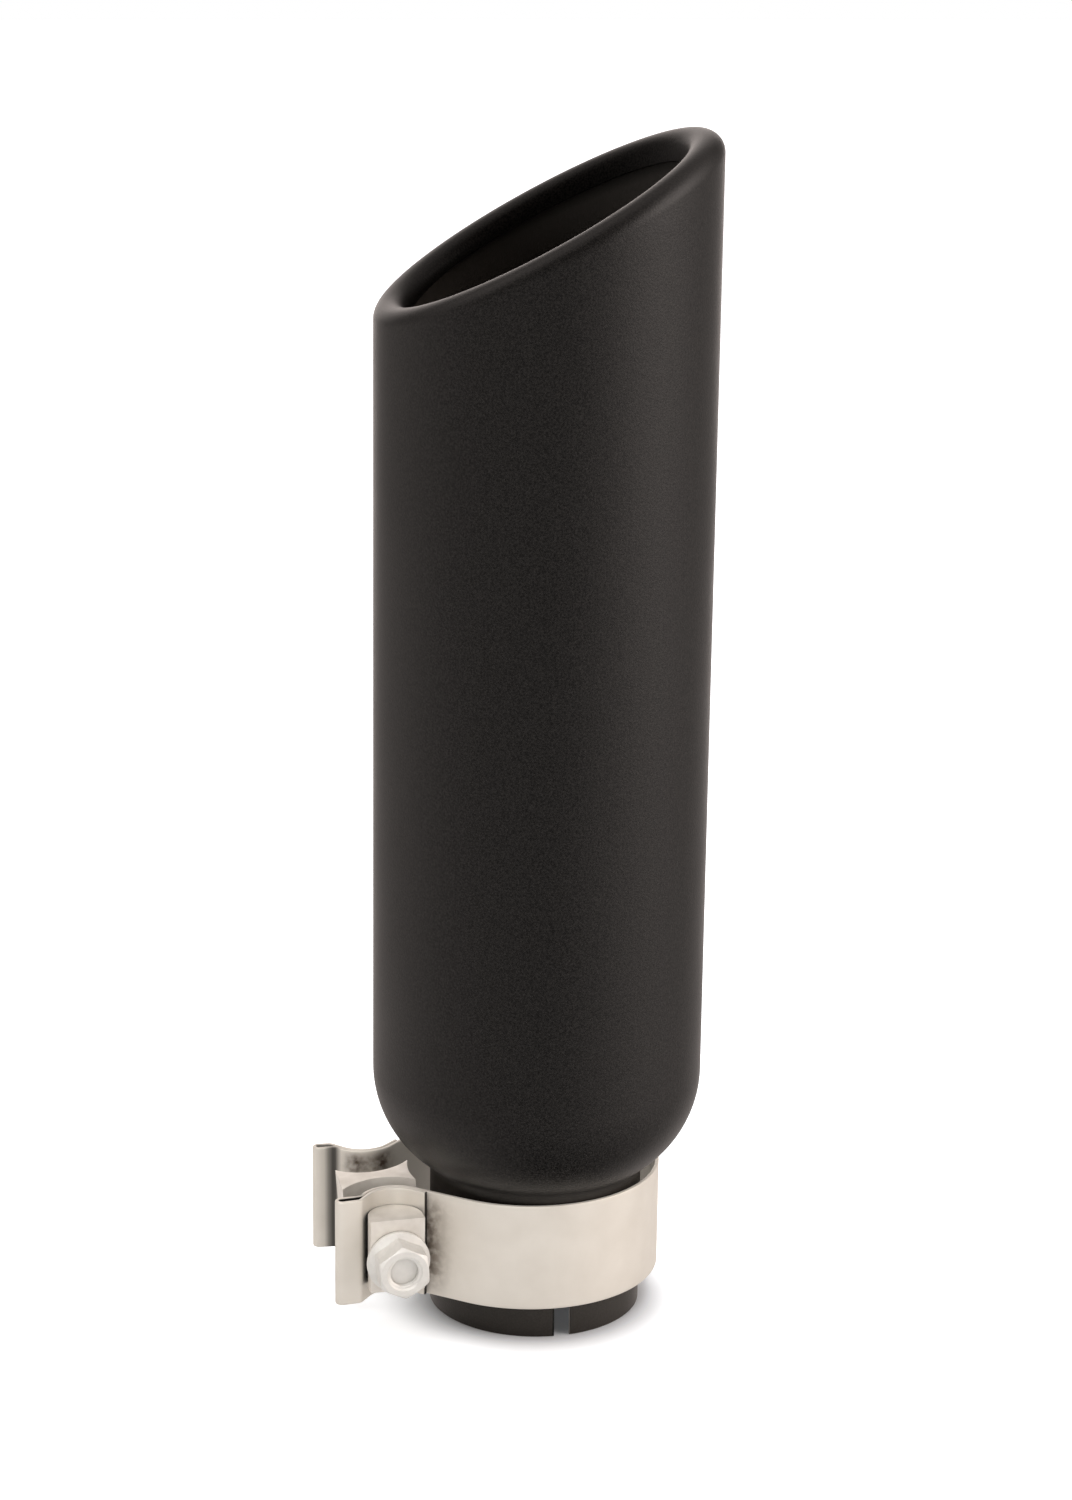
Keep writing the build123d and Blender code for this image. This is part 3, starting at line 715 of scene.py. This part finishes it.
# each panel lies towards a direction (degrees round from +X, degrees up) and fades out at the cosine in edge
panels = {"table front": {"towards": (-108, -15), "level": 0.19, "edge": 0.60},
          "front left": {"towards": (-144, -15), "level": 0.13, "edge": 0.60},
          "right front": {"towards": (-36, -15), "level": 0.45, "edge": 0.60},
          "right wall": {"towards": (-16, 22), "level": 0.20, "edge": 0.60},
          "right rear": {"towards": (30, -15), "level": 0.28, "edge": 0.60},
          "rear left": {"towards": (128, -15), "level": 0.26, "edge": 0.60},
          "table rear": {"towards": (78, -35), "level": 0.7, "edge": 0.60},
          "table left": {"towards": (168, -38), "level": 0.45, "edge": 0.60},
          "rear low": {"towards": (78, -6), "level": 2.4, "edge": 0.90},
          "rear": {"towards": (90, 18), "level": 1.25, "edge": 0.80},
          "left": {"towards": (174, 30), "level": 0.6, "edge": 0.85},
          "high left": {"towards": (170, 62), "level": 0.75, "edge": 0.74},
          "right softbox": {"towards": (-25, 23), "level": 2.8, "edge": 0.80},
          "high right": {"towards": (20, 62), "level": 0.6, "edge": 0.80}}
softLights = {"key": {"place": (-0.55, -1.55, 0.75), "aim": (-0.02, 0, 0.03), "size": 1.7, "power": 14.5,
                      "on": "clamp"},
              "over": {"place": (-0.25, -0.30, 1.60), "aim": (-0.02, 0, 0.03), "size": 1.8, "power": 19.0,
                       "on": "clamp"},
              "top": {"place": (0.10, 0.25, 1.70), "aim": (0, 0, 0), "size": 1.6, "power": 30.0,
                      "on": "floor"}}


def buildCamera(scene):
    lens = bpy.data.cameras.new("camera")
    lens.lens = studio["lens"]
    lens.sensor_width = 36
    camera = bpy.data.objects.new("camera", lens)
    heading = Matrix.Rotation(math.radians(studio["heading"]), 4, "Z")
    pitch = Matrix.Rotation(math.radians(90 - studio["pitch"]), 4, "X")
    roll = Matrix.Rotation(math.radians(studio["roll"]), 4, "Z")
    camera.matrix_world = Matrix.Translation(studio["place"]) @ heading @ pitch @ roll
    scene.collection.objects.link(camera)
    scene.camera = camera


def buildFloor(scene):
    h = studio["floorHalf"]
    floorMesh = bpy.data.meshes.new("floor")
    floorMesh.from_pydata([(-h, -h, 0), (h, -h, 0), (h, h, 0), (-h, h, 0)], [], [(0, 1, 2, 3)])
    floor = bpy.data.objects.new("floor", floorMesh)
    scene.collection.objects.link(floor)
    floor.visible_glossy = False  # the surround, not the paper, is what the gloss shows
    # White paper, bleached and uncoated: flat white, its glow rising away from the tip, a painted soft
    # shadow round the tip's foot.
    paper, tree, skin = newMaterial("white paper sweep")
    skin.inputs["Base Color"].default_value = linear(studio["floorTone"])
    skin.inputs["Roughness"].default_value = 0.9
    skin.inputs["Specular IOR Level"].default_value = 0.0
    skin.inputs["Emission Color"].default_value = (1, 1, 1, 1)
    place = addNode(tree, "ShaderNodeTexCoord").outputs["Object"]
    away = addNode(tree, "ShaderNodeVectorMath", {0: place}, operation="LENGTH").outputs["Value"]
    mid = addNode(tree, "ShaderNodeMapRange",
                  {"Value": away, "From Min": studio["midFrom"], "From Max": studio["midTo"],
                   "To Max": studio["midGlow"]}, interpolation_type="SMOOTHSTEP").outputs["Result"]
    far = addNode(tree, "ShaderNodeMapRange",
                  {"Value": away, "From Min": studio["farFrom"], "From Max": studio["farTo"],
                   "To Max": studio["farGlow"]}, interpolation_type="SMOOTHSTEP").outputs["Result"]
    glow = addNode(tree, "ShaderNodeMath", {0: mid, 1: far}).outputs[0]
    tree.links.new(glow, skin.inputs["Emission Strength"])
    floorMesh.materials.append(paper)
    floor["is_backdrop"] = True
    return floor


def buildSurround(scene):
    world = bpy.data.worlds.new("studio")
    scene.world = world
    world.use_nodes = True
    tree = world.node_tree
    direction = addNode(tree, "ShaderNodeTexCoord").outputs["Generated"]
    total = 0.0
    for panel in panels.values():
        around, up = np.radians(panel["towards"])
        towards = (math.cos(up) * math.cos(around), math.cos(up) * math.sin(around), math.sin(up))
        along = addNode(tree, "ShaderNodeVectorMath", {0: direction, 1: towards},
                        operation="DOT_PRODUCT").outputs["Value"]
        lobe = addNode(tree, "ShaderNodeMapRange",
                       {"Value": along, "From Min": panel["edge"], "To Max": panel["level"]},
                       interpolation_type="SMOOTHSTEP").outputs["Result"]
        total = addNode(tree, "ShaderNodeMath", {0: lobe, 1: total}).outputs[0]
    # the camera itself sees plain white
    seen = addNode(tree, "ShaderNodeLightPath").outputs["Is Camera Ray"]
    level = addNode(tree, "ShaderNodeMix", {"Factor": seen, "A": total, "B": 1.0}).outputs["Result"]
    tree.links.new(level, tree.nodes["Background"].inputs["Strength"])
    tint = addNode(tree, "ShaderNodeMix", {"Factor": seen, "A": linear(studio["tint"]), "B": (1, 1, 1, 1)},
                   data_type="RGBA").outputs["Result"]
    tree.links.new(tint, tree.nodes["Background"].inputs["Color"])


def buildLamps(scene, floor):
    # each lamp reaches only what it is on, so the black coat shows the surround alone
    clampPieces = [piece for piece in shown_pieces() if piece.name != "tipSkin"]
    for name, lampSet in softLights.items():
        lamp = bpy.data.lights.new(name, "AREA")
        lamp.shape = "DISK"
        lamp.size = lampSet["size"]
        lamp.energy = lampSet["power"]
        light = bpy.data.objects.new(name, lamp)
        towards = Vector(lampSet["aim"]) - Vector(lampSet["place"])
        facing = towards.to_track_quat("-Z", "Y").to_matrix().to_4x4()
        light.matrix_world = Matrix.Translation(lampSet["place"]) @ facing
        light.visible_camera = False
        onClamp = lampSet["on"] == "clamp"
        lit = bpy.data.collections.new("lit by " + name)
        for piece in clampPieces if onClamp else [floor]:
            lit.objects.link(piece)
        light.light_linking.receiver_collection = lit
        if onClamp:
            light.light_linking.blocker_collection = lit  # the shell does not shade the clamp from its lamps
        scene.collection.objects.link(light)


bpy.context.scene.view_settings.view_transform = "Standard"
buildCamera(bpy.context.scene)
floorPiece = buildFloor(bpy.context.scene)
buildSurround(bpy.context.scene)
buildLamps(bpy.context.scene, floorPiece)
print("studio ready")
